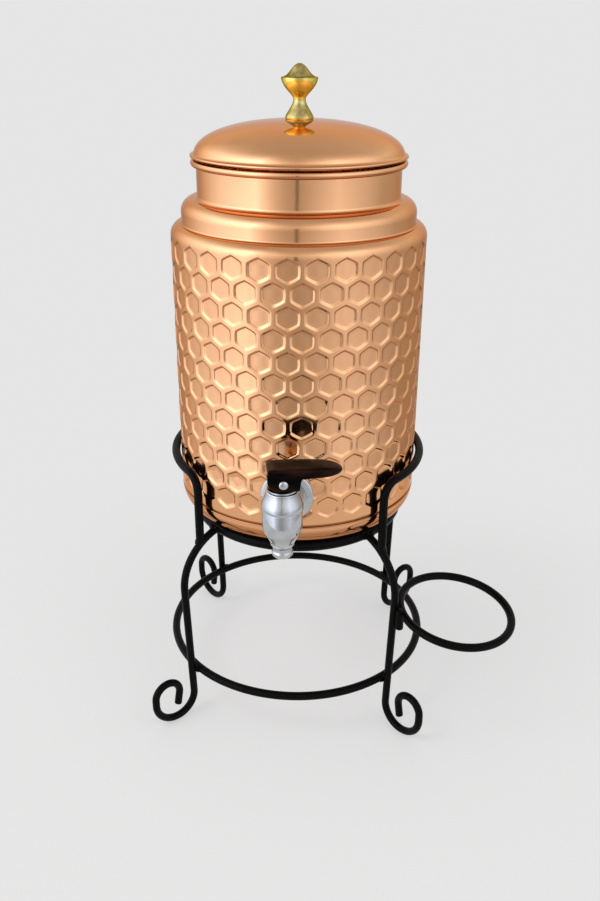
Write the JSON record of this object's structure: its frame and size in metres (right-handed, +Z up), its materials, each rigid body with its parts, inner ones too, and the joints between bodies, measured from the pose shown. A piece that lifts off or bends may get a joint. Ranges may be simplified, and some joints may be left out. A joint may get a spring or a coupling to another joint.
{
  "type": "copper water dispenser on a rod stand",
  "caption": "Round copper water tank with a domed lid and a lever tap, standing in a black bent rod stand with scroll feet and a side ring for a tumbler.",
  "frame": {"origin": "on the floor, under the axis of the tank and the stand", "axes": "+Z up along the tank's axis, -Y towards the tap at the front, +X towards the tumbler ring at the right"},
  "size_m": [0.2622, 0.236, 0.4552],
  "materials": {
    "copper": "polished copper with a warm lacquer",
    "brass": "cast and turned brass",
    "black_paint": "satin black powder coat on steel rod",
    "chrome": "bright chrome plate",
    "black_plastic": "glossy moulded plastic",
    "white_rubber": "food grade silicone",
    "steel": "plain stainless steel"
  },
  "bodies": {
    "stand": {"support_ring": "black_paint", "base_ring": "black_paint", "back_hoop": "black_paint", "leg_front_left": "black_paint", "leg_front_right": "black_paint", "leg_back_left": "black_paint", "leg_back_right": "black_paint", "cup_ring": "black_paint"},
    "tank": {"tank_shell": "copper", "tank_base": "copper", "tap_body": "chrome", "tap_nozzle": "chrome", "tap_bonnet": "chrome", "tap_flange": "chrome", "outer_washer": "white_rubber", "inner_washer": "white_rubber", "lock_nut": "brass", "closing_spring": "steel"},
    "lid": {"lid_shell": "copper", "lid_collar": "copper", "lid_knob": "brass", "knob_washer": "brass", "knob_screw": "steel"},
    "swivel": {"cam_washer": "chrome"},
    "stem": {"valve_stem": "steel", "seat_cup": "white_rubber", "lever_pin": "chrome"},
    "lever": {"tap_lever": "black_plastic"}
  },
  "joints": [
    {"name": "tank_lift", "type": "slide", "parent": "stand", "child": "tank", "axis": [0, 0, 1], "range_m": [0, 0.12]},
    {"name": "lid_lift", "type": "slide", "parent": "tank", "child": "lid", "axis": [0, 0, 1], "range_m": [0, 0.1]},
    {"name": "lever_swivel", "type": "hinge", "parent": "tank", "child": "swivel", "pos_m": [0, -0.122, 0.22403], "axis": [0, 0, 1], "range_deg": [-200, 0]},
    {"name": "stem_lift", "type": "slide", "parent": "swivel", "child": "stem", "axis": [0, 0, 1], "range_m": [0, 0.0041], "deforming": ["closing_spring"]},
    {"name": "lever_tilt", "type": "hinge", "parent": "stem", "child": "lever", "pos_m": [0, -0.122, 0.22403], "axis": [0.1736, -0.9848, 0], "range_deg": [0, 80], "stiffness_Nm_per_rad": 0.12, "springref_deg": -20.05}
  ],
  "couplings": [
    {"joint": "stem_lift", "follows": "lever_tilt", "m_per_rad": 0.0028648}
  ]
}
